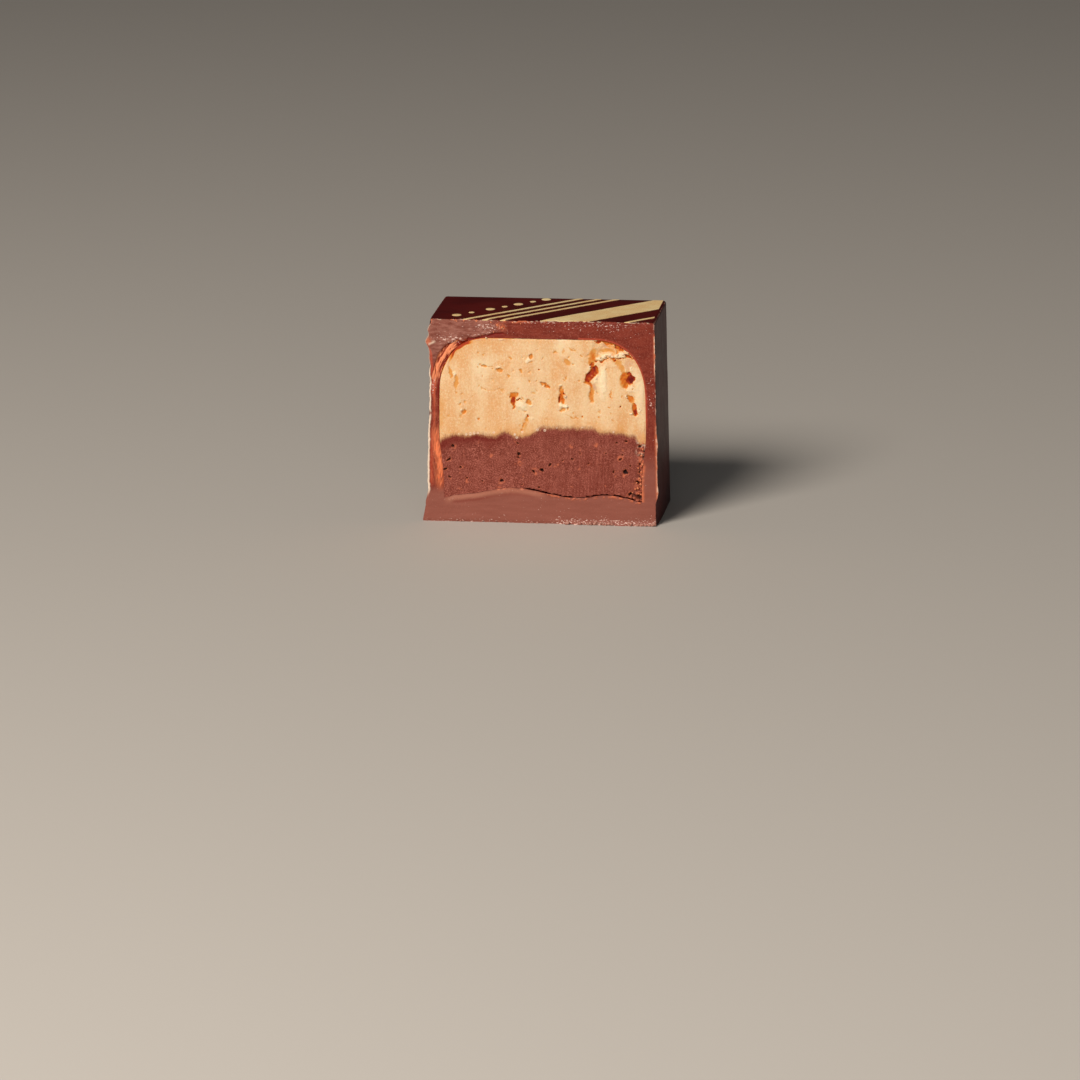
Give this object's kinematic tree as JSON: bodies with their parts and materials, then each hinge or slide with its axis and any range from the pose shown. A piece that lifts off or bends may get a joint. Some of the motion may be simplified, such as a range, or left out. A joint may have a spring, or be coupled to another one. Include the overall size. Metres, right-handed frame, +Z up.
{
  "type": "chocolate bonbon half",
  "caption": "Square moulded chocolate bonbon cut in half: thin dark shell, blond praline over dark ganache, thick chocolate base, gilt printed top.",
  "frame": {"origin": "middle of the footprint, on the surface that the half stands on", "axes": "+Z up, +X along the cut face to the right of someone who looks at it, -Y out of the cut face"},
  "size_m": [0.0258, 0.0124, 0.023],
  "materials": {
    "shell_chocolate": "tempered dark chocolate: glossy where it left the mould, matte where it was cut",
    "base_chocolate": "smooth matte chocolate, cut with a knife",
    "dark_ganache": "soft matte ganache with a fine grain and knife streaks",
    "blond_praline": "soft satin nut praline with smeared pits and crumbs",
    "gilt_print": "thin pale gold cocoa-butter print with a fine speckle"
  },
  "bodies": {
    "root": {"chocolate_shell": "shell_chocolate", "chocolate_base": "base_chocolate", "dark_ganache": "dark_ganache", "blond_praline": "blond_praline"}
  },
  "joints": []
}
